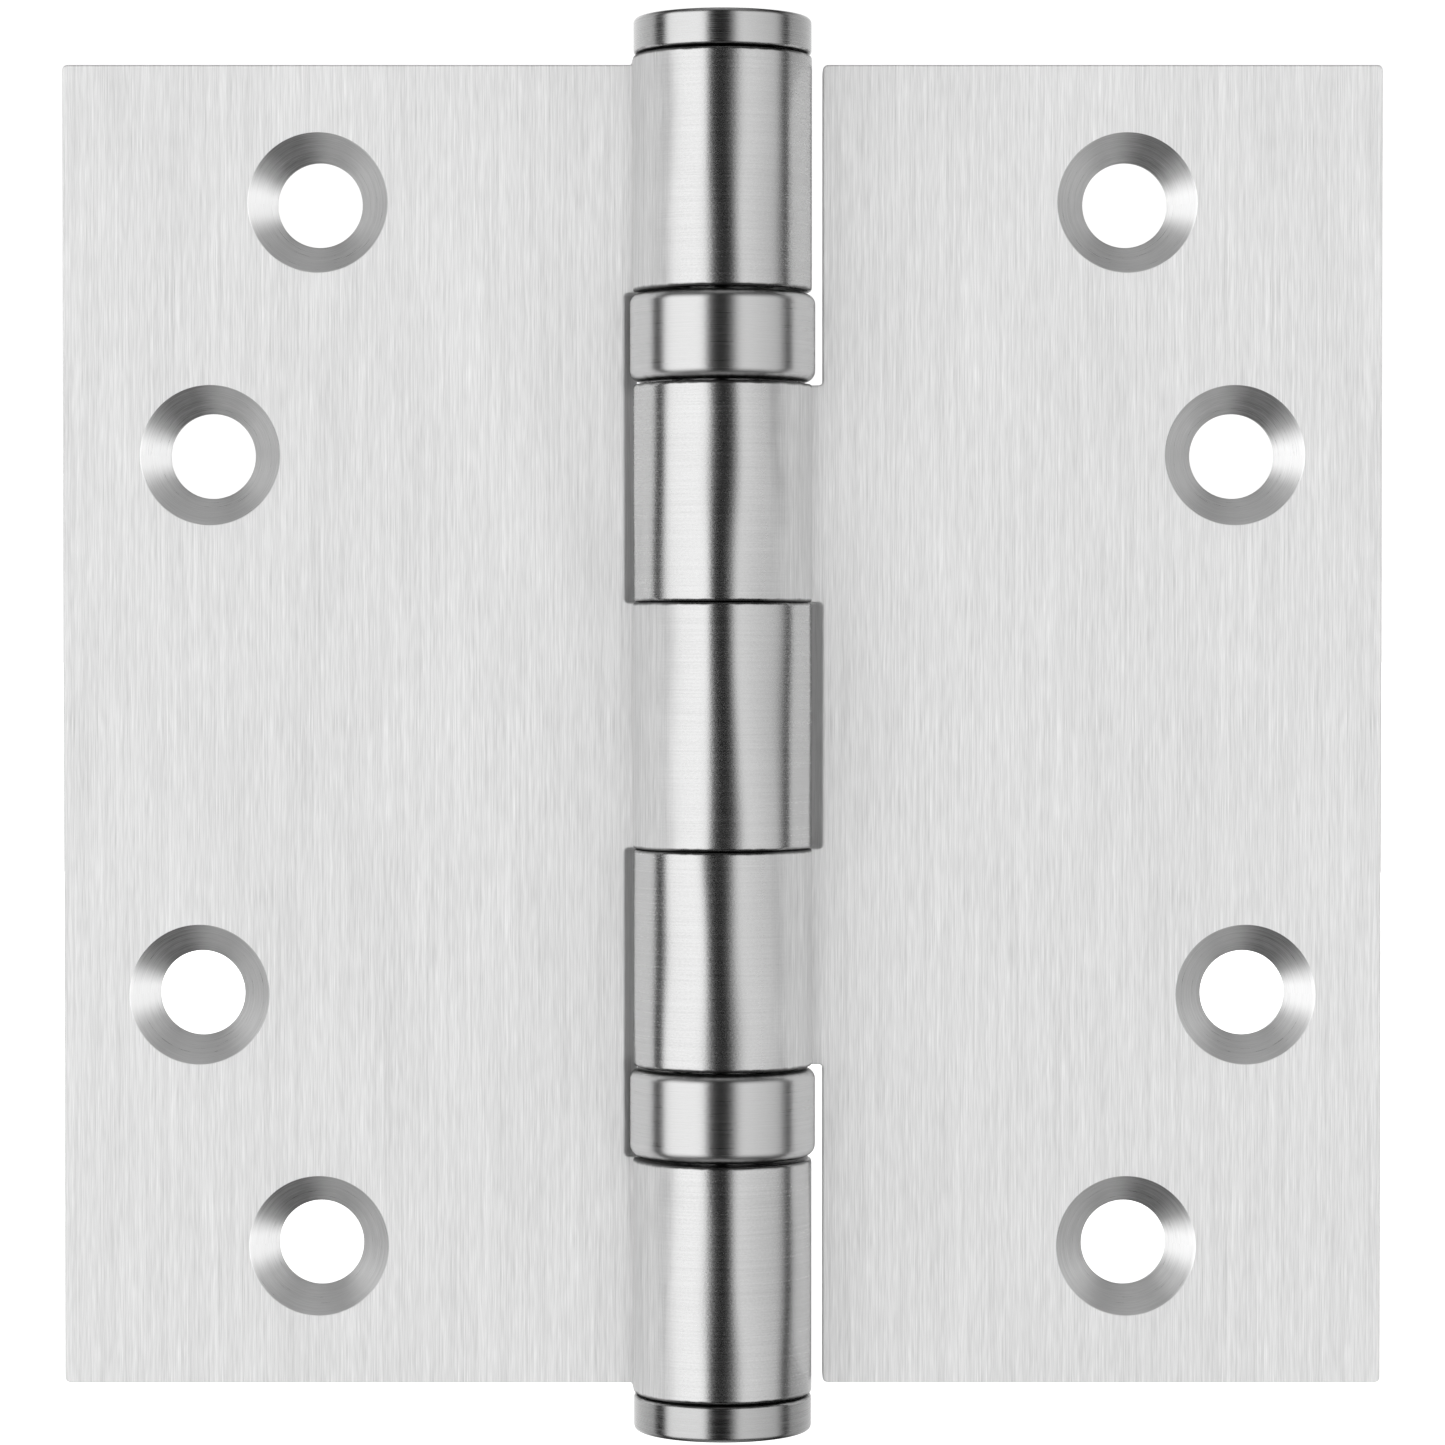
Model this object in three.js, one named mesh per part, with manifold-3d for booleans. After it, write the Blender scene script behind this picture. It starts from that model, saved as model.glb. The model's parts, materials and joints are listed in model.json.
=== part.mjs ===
// A full-mortise ball bearing butt hinge for a heavy door, lying open flat.
//
// Two steel leaves are rolled round one pin: the frame leaf has three knuckles and the door leaf
// has two. A thrust ball bearing sits between the first and second knuckles, and another between
// the fourth and fifth. The pin drops in from the top, and a plug closes the bottom knuckle.
//
// Millimetres. The pin's axis is Z and the origin is at its middle. The countersunk faces look
// along -Y, the frame leaf lies on the -X side and the door leaf on the +X side.

import * as THREE from "three";
import { mergeVertices } from "three/addons/utils/BufferGeometryUtils.js";
import Module from "manifold-3d";

const wasm = await Module();
wasm.setup();

const INCH = 25.4;

// Leaves
const LEAF_HEIGHT = 4.5 * INCH;
const OPEN_WIDTH = 4.5 * INCH; // over both leaves when open flat
const LEAF_THICKNESS = 0.134 * INCH;
const CLOSED_GAP = INCH / 16; // between the two leaves when the hinge is shut
const FRAME_NOTCH = 8.5; // from the pin's axis to the leaf's edge beside a strange knuckle
const DOOR_NOTCH = 8.7;
const NOTCH_FOOT = 7.35; // the same at the leaf's back, where an inner notch slopes in to the barrel

// Screw holes: how far each is from the pin's axis and from the middle of the hinge
const SCREW_HOLES = [
  { across: 35.05, up: 45.25 },
  { across: 44.4, up: 23.4 },
  { across: 45.4, up: -23.4 },
  { across: 35.05, up: -45.25 },
];
const HOLE_RADIUS = 3.7;
const COUNTERSINK_RADIUS = 6;
const COUNTERSINK_ANGLE = 82; // degrees, across the whole cone

// Pin and barrel
const PIN_RADIUS = 4.25;
const BORE_RADIUS = PIN_RADIUS + 0.08;
const BARREL_RADIUS = BORE_RADIUS + LEAF_THICKNESS;
const TIP_RADIUS = 7.68;
const TIP_HEIGHT = 3.1;
const TIP_GAP = 0.15; // between a tip and the knuckle beside it

// Knuckles, from the ends of the barrel to its middle
const END_KNUCKLE = 20.3;
const BEARING_SPACE = 8;
const INNER_KNUCKLE = 18.8;
const CENTRE_KNUCKLE = 21.3;
const KNUCKLE_GAP = 0.15;
const SEAM_GAP = 0.12; // where the end of the curl meets its own leaf
const ROOT_BEND_RADIUS = 1.7; // inside radius of the bend that leads into the curl

// Bottom plug
const PLUG_STEM_RADIUS = BORE_RADIUS - 0.03;
const PLUG_STEM_LENGTH = 5;
const PUNCH_HOLE_RADIUS = 1.6; // a punch goes in here to drive the pin out
const PIN_TO_PLUG = 0.6;

// Bearings
const BEARING_HEIGHT = 7.6;
const SHELL_RADIUS = 8.02;
const SHELL_WALL = 0.5;
const SHELL_CORNER = 0.55;
const SHELL_MOUTH_RADIUS = 6.7;
const RACE_BORE_RADIUS = 4.4;
const RACE_RADIUS = 7.4;
const RACE_BOSS_RADIUS = 6.55;
const RACE_CLEARANCE = 0.15; // between a race's shoulder and the shell's lip
const RACE_FACE = 0.62; // from the middle of the balls to the face of a race
const BALL_RADIUS = 1;
const BALL_COUNT = 12;
const BALL_CIRCLE_RADIUS = 5.87;
const GROOVE_RADIUS = 1.06;
const CAGE_HALF_THICKNESS = 0.45;
const CAGE_INNER_RADIUS = 4.45;
const CAGE_OUTER_RADIUS = 7.3;
const POCKET_RADIUS = 1.1;

// Facets round a full circle
const BARREL_FACETS = 44;
const BEARING_FACETS = 24;
const HOLE_FACETS = 32;
const POCKET_FACETS = 8;
const SNAP = 1e-4; // coordinates are rounded to this, so that flush faces are exactly flush

// Places worked out from the sizes above
const leafFront = CLOSED_GAP / 2;
const leafBack = leafFront + LEAF_THICKNESS;
const leafReach = OPEN_WIDTH / 2;
const barrelEnd = CENTRE_KNUCKLE / 2 + INNER_KNUCKLE + BEARING_SPACE + END_KNUCKLE;
const endKnuckleStart = barrelEnd - END_KNUCKLE;
const bearingMiddle = endKnuckleStart - BEARING_SPACE / 2;
const innerKnuckleStart = CENTRE_KNUCKLE / 2;
const plugTop = PLUG_STEM_LENGTH - barrelEnd;
const shellInside = SHELL_RADIUS - SHELL_WALL;

const steel = (name, color, roughness) =>
  new THREE.MeshStandardMaterial({ name, color, roughness, metalness: 1 });
const MATERIALS = {
  leaf: steel("satin_stainless", 0xd2d3d4, 0.38),
  tip: steel("turned_stainless", 0xbfc0c2, 0.3),
  shell: steel("bearing_shell", 0xc6c7c9, 0.25),
  race: steel("hardened_steel", 0xa9abae, 0.2),
  ball: steel("polished_ball", 0xdcdde0, 0.08),
  cage: new THREE.MeshStandardMaterial({ name: "nylon_cage", color: 0xe6e0cf, roughness: 0.6 }),
};

// Points on an arc, in degrees, both ends included
function arc(x, y, radius, from, to, steps) {
  return Array.from({ length: steps + 1 }, (_, i) => {
    const angle = THREE.MathUtils.degToRad(from + ((to - from) * i) / steps);
    return [x + radius * Math.cos(angle), y + radius * Math.sin(angle)];
  });
}

// A closed outline in X and Y, drawn out along +Z from z = bottom
function extrude(outline, bottom, height) {
  const shape = new THREE.Shape(outline.map(([x, y]) => new THREE.Vector2(x, y)));
  const options = { depth: height, bevelEnabled: false, steps: 1 };
  return new THREE.ExtrudeGeometry(shape, options).translate(0, 0, bottom);
}

// A profile of radius and height, turned round the Z axis
function turn(profile, facets = BARREL_FACETS) {
  const points = profile.map(([radius, height]) => new THREE.Vector2(radius, height));
  return new THREE.LatheGeometry(points, facets).rotateX(Math.PI / 2);
}

function box(low, high) {
  const size = high.map((value, i) => value - low[i]);
  const middle = high.map((value, i) => (value + low[i]) / 2);
  return new THREE.BoxGeometry(...size).translate(...middle);
}

// Geometry to solid and back again
function solid(geometry) {
  const bare = new THREE.BufferGeometry();
  const source = geometry.index ? geometry.toNonIndexed() : geometry;
  const snapped = source.attributes.position.array.map((v) => Math.round(v / SNAP) * SNAP);
  bare.setAttribute("position", new THREE.BufferAttribute(new Float32Array(snapped), 3));
  const merged = mergeVertices(bare, SNAP / 2);
  return new wasm.Manifold(
    new wasm.Mesh({
      numProp: 3,
      vertProperties: merged.attributes.position.array,
      triVerts: new Uint32Array(merged.index.array),
    }),
  );
}

function geometryOf(body) {
  const { vertProperties, triVerts } = body.getMesh();
  return new THREE.BufferGeometry()
    .setAttribute("position", new THREE.BufferAttribute(vertProperties, 3))
    .setIndex(new THREE.BufferAttribute(triVerts, 1));
}

function mesh(name, geometry, material) {
  const made = new THREE.Mesh(geometry, material);
  made.name = name;
  return made;
}

// The section of a leaf where it is rolled into a knuckle. The sheet bends back, passes behind the
// pin, comes round over its front, and ends on the front face of its own leaf.
function knuckleSection(side, outerEnd) {
  const middleRadius = BORE_RADIUS + LEAF_THICKNESS / 2;
  const bendRadius = ROOT_BEND_RADIUS + LEAF_THICKNESS / 2;
  const bendY = leafFront + LEAF_THICKNESS / 2 + bendRadius;
  const bendX = Math.sqrt((middleRadius + bendRadius) ** 2 - bendY ** 2);
  const start = THREE.MathUtils.radToDeg(Math.atan2(bendY, bendX));
  const tipY = leafFront - SEAM_GAP;
  const endAt = (radius) => 360 + THREE.MathUtils.radToDeg(Math.asin(tipY / radius));
  const outline = [
    [outerEnd, leafBack],
    ...arc(bendX, bendY, ROOT_BEND_RADIUS, 270, 180 + start, 4),
    ...arc(0, 0, BARREL_RADIUS, start, endAt(BARREL_RADIUS), BARREL_FACETS - 4).slice(1),
    ...arc(0, 0, BORE_RADIUS, endAt(BORE_RADIUS), start, BARREL_FACETS - 8),
    ...arc(bendX, bendY, ROOT_BEND_RADIUS + LEAF_THICKNESS, 180 + start, 270, 6).slice(1),
    [outerEnd, leafFront],
  ];
  return outline.map(([x, y]) => [side * x, y]);
}

// A knuckle runs from bottom to top. Past the leaf's own edge only the barrel goes on.
function knuckle(side, bottom, top) {
  const rootEnd = DOOR_NOTCH + 3;
  const whole = solid(extrude(knuckleSection(side, rootEnd), bottom, top - bottom));
  const leafEdge = LEAF_HEIGHT / 2;
  const past = [leafEdge, barrelEnd + 1];
  const trims = [past, [-past[1], -past[0]]].map(([low, high]) => {
    const reach = [side * BARREL_RADIUS, side * (rootEnd + 1)].sort((a, b) => a - b);
    return solid(box([reach[0], leafFront - 1, low], [reach[1], leafBack + 1, high]));
  });
  return trims.reduce((body, trim) => body.subtract(trim), whole);
}

// The flat of a leaf, with its countersunk holes
function plate(side, notch) {
  const reach = [side * notch, side * leafReach].sort((a, b) => a - b);
  const half = LEAF_HEIGHT / 2;
  const blank = solid(box([reach[0], leafFront, -half], [reach[1], leafBack, half]));
  return SCREW_HOLES.reduce(
    (body, { across, up }) => body.subtract(screwHole(side * across, up)),
    blank,
  );
}

// The metal that a countersunk hole takes away. A lathe shape's own axis is already Y.
function screwHole(x, z) {
  const slope = Math.tan(THREE.MathUtils.degToRad(COUNTERSINK_ANGLE / 2));
  const coneDepth = (COUNTERSINK_RADIUS - HOLE_RADIUS) / slope;
  const proud = 0.5;
  const profile = [
    [0, leafFront - proud],
    [COUNTERSINK_RADIUS + proud * slope, leafFront - proud],
    [HOLE_RADIUS, leafFront + coneDepth],
    [HOLE_RADIUS, leafBack + proud],
    [0, leafBack + proud],
  ].map(([radius, y]) => new THREE.Vector2(radius, y));
  return solid(new THREE.LatheGeometry(profile, HOLE_FACETS).translate(x, 0, z));
}

// The wall of the notches between a leaf's own knuckles. It slopes in behind the barrel.
function notchWall(side, notch, height) {
  const overlap = notch + 1;
  const outline = [
    [overlap, leafFront],
    [overlap, leafBack],
    [NOTCH_FOOT, leafBack],
    [notch, leafFront],
  ].map(([x, y]) => [side * x, y]);
  return solid(extrude(outline, -height, 2 * height));
}

// A leaf is its flat and its knuckles, all one piece of sheet. The top knuckle comes first, and the
// sloping wall ends just inside it.
function leaf(name, side, notch, spans) {
  const wallEnd = spans[0][0] + 1;
  const flat = plate(side, notch).add(notchWall(side, notch, wallEnd));
  const body = spans.reduce((made, [bottom, top]) => made.add(knuckle(side, bottom, top)), flat);
  return mesh(name, geometryOf(body), MATERIALS.leaf);
}

function frameLeaf() {
  const centreEnd = CENTRE_KNUCKLE / 2 - KNUCKLE_GAP / 2;
  return leaf("frame_leaf", -1, FRAME_NOTCH, [
    [endKnuckleStart, barrelEnd],
    [-centreEnd, centreEnd],
    [-barrelEnd, -endKnuckleStart],
  ]);
}

function doorLeaf() {
  const inner = innerKnuckleStart + KNUCKLE_GAP / 2;
  const outer = innerKnuckleStart + INNER_KNUCKLE;
  return leaf("door_leaf", 1, DOOR_NOTCH, [
    [inner, outer],
    [-outer, -inner],
  ]);
}

// The pin with its flat button head, from its chamfered foot up
function hingePin() {
  const foot = plugTop + PIN_TO_PLUG;
  const chamfer = 1.2;
  const head = barrelEnd + TIP_GAP;
  const round = 0.35;
  const profile = [
    [0, foot],
    [PIN_RADIUS - chamfer, foot],
    [PIN_RADIUS, foot + chamfer],
    [PIN_RADIUS, head],
    [TIP_RADIUS - round, head],
    [TIP_RADIUS, head + round],
    ...arc(TIP_RADIUS - round, head + TIP_HEIGHT - round, round, 0, 90, 2),
    [0, head + TIP_HEIGHT],
  ];
  return mesh("hinge_pin", turn(profile), MATERIALS.tip);
}

// The plug that closes the bottom knuckle, with a hole right through it for a punch
function bottomPlug() {
  const top = -barrelEnd - TIP_GAP;
  const bottom = top - TIP_HEIGHT;
  const round = 0.35;
  const profile = [
    [PUNCH_HOLE_RADIUS, plugTop],
    [PUNCH_HOLE_RADIUS, bottom],
    ...arc(TIP_RADIUS - round, bottom + round, round, -90, 0, 2),
    [TIP_RADIUS, top],
    [PLUG_STEM_RADIUS, top],
    [PLUG_STEM_RADIUS, plugTop],
    [PUNCH_HOLE_RADIUS, plugTop],
  ];
  return mesh("bottom_plug", turn(profile), MATERIALS.tip);
}

// The cover round a bearing: a sleeve with a lip turned in at both ends
function bearingShell() {
  const half = BEARING_HEIGHT / 2;
  const corner = SHELL_RADIUS - SHELL_CORNER;
  const lip = half - SHELL_WALL;
  const profile = [
    [SHELL_MOUTH_RADIUS, -half],
    ...arc(corner, -half + SHELL_CORNER, SHELL_CORNER, -90, 0, 2),
    ...arc(corner, half - SHELL_CORNER, SHELL_CORNER, 0, 90, 2),
    [SHELL_MOUTH_RADIUS, half],
    [SHELL_MOUTH_RADIUS, lip],
    [shellInside, lip],
    [shellInside, -lip],
    [SHELL_MOUTH_RADIUS, -lip],
    [SHELL_MOUTH_RADIUS, -half],
  ];
  return turn(profile);
}

// A race, groove downwards: its boss stands in the shell's mouth, and its shoulder under the lip
function bearingRace() {
  const top = BEARING_HEIGHT / 2;
  const shoulder = top - SHELL_WALL - RACE_CLEARANCE;
  const edge = THREE.MathUtils.radToDeg(Math.asin(RACE_FACE / GROOVE_RADIUS));
  const profile = [
    [RACE_BORE_RADIUS, top],
    [RACE_BORE_RADIUS, RACE_FACE],
    ...arc(BALL_CIRCLE_RADIUS, 0, GROOVE_RADIUS, 180 - edge, edge, 4),
    [RACE_RADIUS, RACE_FACE],
    [RACE_RADIUS, shoulder],
    [RACE_BOSS_RADIUS, shoulder],
    [RACE_BOSS_RADIUS, top],
    [RACE_BORE_RADIUS, top],
  ];
  return turn(profile, BEARING_FACETS);
}

// Where each ball sits round the pin
function ballPlaces() {
  return Array.from({ length: BALL_COUNT }, (_, i) => {
    const angle = (2 * Math.PI * i) / BALL_COUNT;
    return [BALL_CIRCLE_RADIUS * Math.cos(angle), BALL_CIRCLE_RADIUS * Math.sin(angle)];
  });
}

// A flat ring with a pocket for each ball
function bearingCage() {
  const t = CAGE_HALF_THICKNESS;
  const ring = turn(
    [
      [CAGE_INNER_RADIUS, t],
      [CAGE_INNER_RADIUS, -t],
      [CAGE_OUTER_RADIUS, -t],
      [CAGE_OUTER_RADIUS, t],
      [CAGE_INNER_RADIUS, t],
    ],
    BEARING_FACETS,
  );
  const pocket = (x, y) => extrude(arc(x, y, POCKET_RADIUS, 0, 360, POCKET_FACETS).slice(1), -1, 2);
  const body = ballPlaces().reduce((made, [x, y]) => made.subtract(solid(pocket(x, y))), solid(ring));
  return geometryOf(body);
}

// A whole bearing, centred on its balls
function bearing(prefix) {
  const group = new THREE.Group();
  const upper = mesh(`${prefix}_upper_race`, bearingRace(), MATERIALS.race);
  const lower = mesh(`${prefix}_lower_race`, bearingRace(), MATERIALS.race);
  lower.rotation.x = Math.PI;
  group.add(mesh(`${prefix}_shell`, bearingShell(), MATERIALS.shell), upper, lower);
  group.add(mesh(`${prefix}_cage`, bearingCage(), MATERIALS.cage));
  ballPlaces().forEach(([x, y], i) => {
    const number = String(i + 1).padStart(2, "0");
    const ball = new THREE.IcosahedronGeometry(BALL_RADIUS, 1);
    const placed = mesh(`${prefix}_ball_${number}`, ball, MATERIALS.ball);
    placed.position.set(x, y, 0);
    group.add(placed);
  });
  return group;
}

const upperBearing = bearing("upper_bearing");
upperBearing.position.z = bearingMiddle;
const lowerBearing = bearing("lower_bearing");
lowerBearing.position.z = -bearingMiddle;

const hinge = new THREE.Group();
hinge.add(frameLeaf(), doorLeaf(), hingePin(), bottomPlug(), upperBearing, lowerBearing);

export default hinge;
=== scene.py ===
"""A ball bearing butt hinge in satin stainless steel, open flat, in soft studio light."""

import json
import math

import bmesh
import bpy
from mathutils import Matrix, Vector
from mathutils.geometry import delaunay_2d_cdt


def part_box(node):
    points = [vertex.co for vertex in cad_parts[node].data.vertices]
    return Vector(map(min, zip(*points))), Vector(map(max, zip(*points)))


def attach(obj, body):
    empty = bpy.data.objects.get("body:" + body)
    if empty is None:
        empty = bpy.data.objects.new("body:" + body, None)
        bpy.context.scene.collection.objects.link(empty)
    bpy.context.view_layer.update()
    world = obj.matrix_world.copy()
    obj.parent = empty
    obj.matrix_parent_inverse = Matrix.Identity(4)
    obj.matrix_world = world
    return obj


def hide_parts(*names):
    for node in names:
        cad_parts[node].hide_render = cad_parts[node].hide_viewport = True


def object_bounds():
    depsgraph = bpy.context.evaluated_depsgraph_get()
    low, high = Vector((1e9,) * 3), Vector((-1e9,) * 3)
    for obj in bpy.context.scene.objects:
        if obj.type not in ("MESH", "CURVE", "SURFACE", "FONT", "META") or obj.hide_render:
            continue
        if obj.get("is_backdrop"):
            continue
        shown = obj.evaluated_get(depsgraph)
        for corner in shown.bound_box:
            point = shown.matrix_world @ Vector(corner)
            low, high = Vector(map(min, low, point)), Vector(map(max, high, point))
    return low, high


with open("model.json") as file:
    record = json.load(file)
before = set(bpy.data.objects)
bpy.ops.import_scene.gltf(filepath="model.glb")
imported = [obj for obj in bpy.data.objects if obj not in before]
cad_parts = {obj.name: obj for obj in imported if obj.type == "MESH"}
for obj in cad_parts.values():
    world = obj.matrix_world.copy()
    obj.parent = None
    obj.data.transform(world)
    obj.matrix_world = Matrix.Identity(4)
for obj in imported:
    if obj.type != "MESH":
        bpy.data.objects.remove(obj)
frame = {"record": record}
cad_low, cad_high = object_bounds()
record = frame["record"]

MM = 0.001  # everything below is worked out in millimetres and made in metres
UV_PER_MM = 0.01  # the UV map is the metal's own surface, rolled out flat
UV_NAME = "surface"

# Sizes that the CAD's boxes and its first mount give
door_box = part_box("door_leaf")
frame_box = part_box("frame_leaf")
shell_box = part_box("upper_bearing_shell")
race_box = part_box("upper_bearing_upper_race")
cage_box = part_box("upper_bearing_cage")
ball_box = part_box("upper_bearing_ball_01")
pin_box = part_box("hinge_pin")
plug_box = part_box("bottom_plug")

LEAF_REACH = door_box[1].x / MM
LEAF_HALF = door_box[1].z / MM
BARREL_END = frame_box[1].z / MM
BARREL_RADIUS = frame_box[1].x / MM
LEAF_BACK = record["mounts"][0]["pos_m"][1] / MM
TIP_RADIUS = pin_box[1].x / MM
SHELL_RADIUS = shell_box[1].x / MM
BEARING_MIDDLE = (shell_box[0].z + shell_box[1].z) / 2 / MM
BEARING_HALF = (shell_box[1].z - shell_box[0].z) / 2 / MM
RACE_RADIUS = race_box[1].x / MM
CAGE_RADIUS = cage_box[1].x / MM
CAGE_HALF = (cage_box[1].z - cage_box[0].z) / 2 / MM
BALL_RADIUS = (ball_box[1].z - ball_box[0].z) / 2 / MM

# Sizes of the sheet and of what is cut in it
LEAF_THICKNESS = 3.4036
LEAF_FRONT = LEAF_BACK - LEAF_THICKNESS
BORE_RADIUS = BARREL_RADIUS - LEAF_THICKNESS
FRAME_NOTCH = 8.5
DOOR_NOTCH = 8.7
NOTCH_LEAN = 0.93  # how far an inner notch's wall leans in towards the bend, at the leaf's back
BEND_RADIUS = 1.7
SEAM_GAP = 0.1
BEARING_SPACE = 8.0  # the height between two knuckles that a bearing sits in
CENTRE_HALF = 10.635  # the middle knuckle's half height
INNER_START = 10.665  # where the knuckles above and below it begin
STEP_IN, STEP_OUT = 0.4, 0.55  # top and foot of the step at a leaf's end, outwards from its bend
STEP_ROUND = 0.22

# Rounded edges: along the sheet's rim, round the knuckles' outside, and at the blank's corners
EDGE_ROUND = 0.16
BARREL_EDGE_ROUND = 0.3
BARREL_BLEND = 3.0  # how far along the sheet the larger rounding takes to come in after the bend
SEAM_BLEND = 2.5  # and to go out again before the seam
CORNER_ROUND = 0.45
NOTCH_CORNER_ROUND = 0.38
WOBBLE_LONG, WOBBLE_SHORT = 0.06, 0.045  # the two waves of unevenness in the knuckles' edges

HOLE_RADIUS = 3.7
SINK_RADIUS = 6.0
SINK_SLOPE = math.tan(math.radians(41))
FRONT_RIM, BACK_RIM = 0.08, 0.12  # how wide the broken edge is round a hole, in front and behind
SINK_UV_STEP = 7  # keeps the countersinks apart on the UV map

BORE_IN_RACE = 4.4
BALL_CIRCLE = 5.87
BALL_COUNT = 12
PIN_CLEARANCE = 0.08
STEM_CLEARANCE = 0.03
TIP_GAP = 0.15
TIP_CROWN = 0.45  # rounding of a tip's outer edge
TIP_ROUND = 0.3  # and of its edge beside the barrel
PUNCH_HOLE_RADIUS = 1.6
SHELL_WALL = 0.5
SHELL_MOUTH = 6.7
LIP_CHAMFER = 0.1

# How finely each curve is divided
BEND_STEPS = 12
CURL_STEPS = 150
EDGE_STEPS = 4
CORNER_STEPS = 6
CONE_STEPS = 6
HOLE_FACETS = 96
TURN_FACETS = 160
RACE_FACETS = 96
CAGE_INNER_FACETS = 120
POCKET_FACETS = 36
BALL_DIVISIONS = 4


def smooth(t):
    t = min(max(t, 0.0), 1.0)
    return t * t * (3 - 2 * t)


def filled(points, edges, owner):
    """Triangles that fill a flat outline, leaving its holes open. owner says which loop each point is
    on, and 0 is the outline."""
    triangles = delaunay_2d_cdt(points, edges, [], 1, 1e-7)[2]
    return [t for t in triangles if owner[t[0]] == 0 or len({owner[k] for k in t}) > 1]


def finish_mesh(name, bm, materials):
    """Turns a bmesh in millimetres into an object in metres, smooth shaded."""
    bmesh.ops.recalc_face_normals(bm, faces=bm.faces)
    bmesh.ops.scale(bm, vec=Vector((MM, MM, MM)), verts=bm.verts)
    mesh = bpy.data.meshes.new(name)
    bm.to_mesh(mesh)
    bm.free()
    for material in materials:
        mesh.materials.append(material)
    mesh.shade_smooth()
    obj = bpy.data.objects.new(name, mesh)
    bpy.context.scene.collection.objects.link(obj)
    weighted = obj.modifiers.new("weighted_normals", "WEIGHTED_NORMAL")
    weighted.weight = 100
    weighted.keep_sharp = True
    return obj


# ---------------------------------------------------------------- the rolled sheet of a leaf

MIDDLE_RADIUS = BORE_RADIUS + LEAF_THICKNESS / 2
BEND_MIDDLE = BEND_RADIUS + LEAF_THICKNESS / 2
BEND_Y = LEAF_FRONT + LEAF_THICKNESS / 2 + BEND_MIDDLE
BEND_X = math.sqrt((MIDDLE_RADIUS + BEND_MIDDLE) ** 2 - BEND_Y**2)
CURL_START = math.atan2(BEND_Y, BEND_X)
BEND_TURN = math.pi / 2 - CURL_START
BEND_LENGTH = BEND_TURN * BEND_MIDDLE
CURL_LENGTH = (2 * math.pi - CURL_START) * MIDDLE_RADIUS
CURL_AT = BEND_X - BEND_LENGTH
SHEET_END = CURL_AT - CURL_LENGTH


def curl_end(radius):
    """The angle at which the rolled sheet meets the front of its own leaf."""
    return 2 * math.pi + math.asin((LEAF_FRONT - SEAM_GAP) / radius)


def rolled(along, depth):
    """Where a point of the flat blank ends up. along is its distance from the pin's axis while the
    sheet is flat, and depth its distance below the front face."""
    if along >= BEND_X:
        return along, LEAF_FRONT + depth
    if along >= CURL_AT:
        turn = BEND_TURN * (BEND_X - along) / BEND_LENGTH
        radius = BEND_RADIUS + LEAF_THICKNESS - depth
        angle = -math.pi / 2 - turn
        return BEND_X + radius * math.cos(angle), BEND_Y + radius * math.sin(angle)
    share = (CURL_AT - along) / CURL_LENGTH
    radius = BORE_RADIUS + depth
    angle = CURL_START + share * (curl_end(radius) - CURL_START)
    return radius * math.cos(angle), radius * math.sin(angle)


def stations():
    """Where the sheet is divided along its bend and its curl."""
    bend = [BEND_X - BEND_LENGTH * i / BEND_STEPS for i in range(BEND_STEPS)]
    curl = [CURL_AT - CURL_LENGTH * i / CURL_STEPS for i in range(CURL_STEPS)]
    return bend + curl


STATIONS = stations()


def blank_corners(notch, spans):
    """The blank's corners, anticlockwise from the bottom outer one, as (along, up, radius). spans are
    the heights of the leaf's knuckles, from the top down."""
    corners = [(LEAF_REACH, -LEAF_HALF, CORNER_ROUND), (LEAF_REACH, LEAF_HALF, CORNER_ROUND)]
    step_in, step_out = BEND_X + STEP_IN, BEND_X + STEP_OUT
    edge = LEAF_HALF
    for low, high in spans:
        if high > LEAF_HALF:
            corners += [(step_out, LEAF_HALF, STEP_ROUND), (step_in, high, STEP_ROUND)]
        else:
            outer = NOTCH_CORNER_ROUND if edge != LEAF_HALF else CORNER_ROUND
            corners += [(notch, edge, outer), (notch, high, NOTCH_CORNER_ROUND)]
        corners += [(SHEET_END, high, CORNER_ROUND), (SHEET_END, low, CORNER_ROUND)]
        edge = low
    if edge < -LEAF_HALF:
        corners += [(step_in, edge, STEP_ROUND), (step_out, -LEAF_HALF, STEP_ROUND)]
    else:
        corners += [(notch, edge, NOTCH_CORNER_ROUND), (notch, -LEAF_HALF, CORNER_ROUND)]
    return corners


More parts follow.
